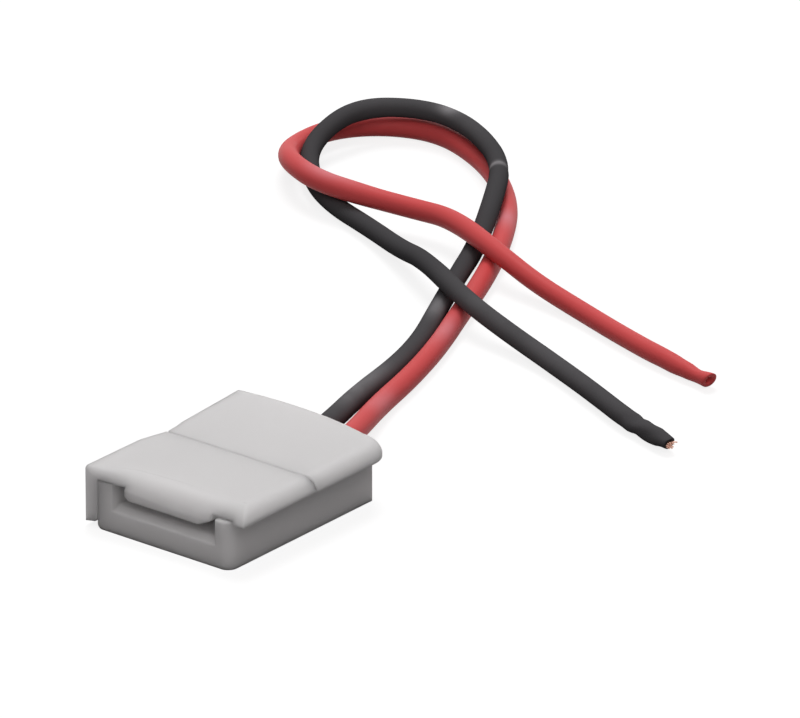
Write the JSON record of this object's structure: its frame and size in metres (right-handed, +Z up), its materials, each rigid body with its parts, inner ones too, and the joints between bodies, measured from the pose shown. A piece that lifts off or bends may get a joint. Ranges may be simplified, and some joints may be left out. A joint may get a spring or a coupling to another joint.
{
  "type": "led strip connector",
  "caption": "Snap connector for a flat light strip, with hinged pressing lids over a strip slot and a loosely looped red and black lead pair at the back.",
  "frame": {"origin": "on the floor, midway across the housing and under the seam between its lids", "axes": "+Z up out of the lids, -Y towards the mouth that takes the light strip, +Y towards the leads, +X towards the lifting lip of the lids"},
  "size_m": [0.0628, 0.0787, 0.0053],
  "materials": {
    "housing_plastic": "matte moulded",
    "contact_metal": "tinned, satin",
    "copper": "bare copper",
    "black_insulation": "soft, slightly shiny",
    "red_insulation": "soft, slightly shiny"
  },
  "bodies": {
    "housing": {"base": "housing_plastic", "black_contact": "contact_metal", "red_contact": "contact_metal", "black_crimped_core": "copper", "red_crimped_core": "copper", "black_lead": "black_insulation", "red_lead": "red_insulation", "black_bare_strands": "copper"},
    "front_lid": {"front_lid": "housing_plastic"},
    "rear_lid": {"rear_lid": "housing_plastic"}
  },
  "joints": [
    {"name": "front_lid_hinge", "type": "hinge", "parent": "housing", "child": "front_lid", "pos_m": [-0.00666, 0, 0.00055], "axis": [0, -1, 0], "range_deg": [0, 90]},
    {"name": "rear_lid_hinge", "type": "hinge", "parent": "housing", "child": "rear_lid", "pos_m": [-0.00666, 0, 0.00055], "axis": [0, -1, 0], "range_deg": [0, 90]}
  ]
}
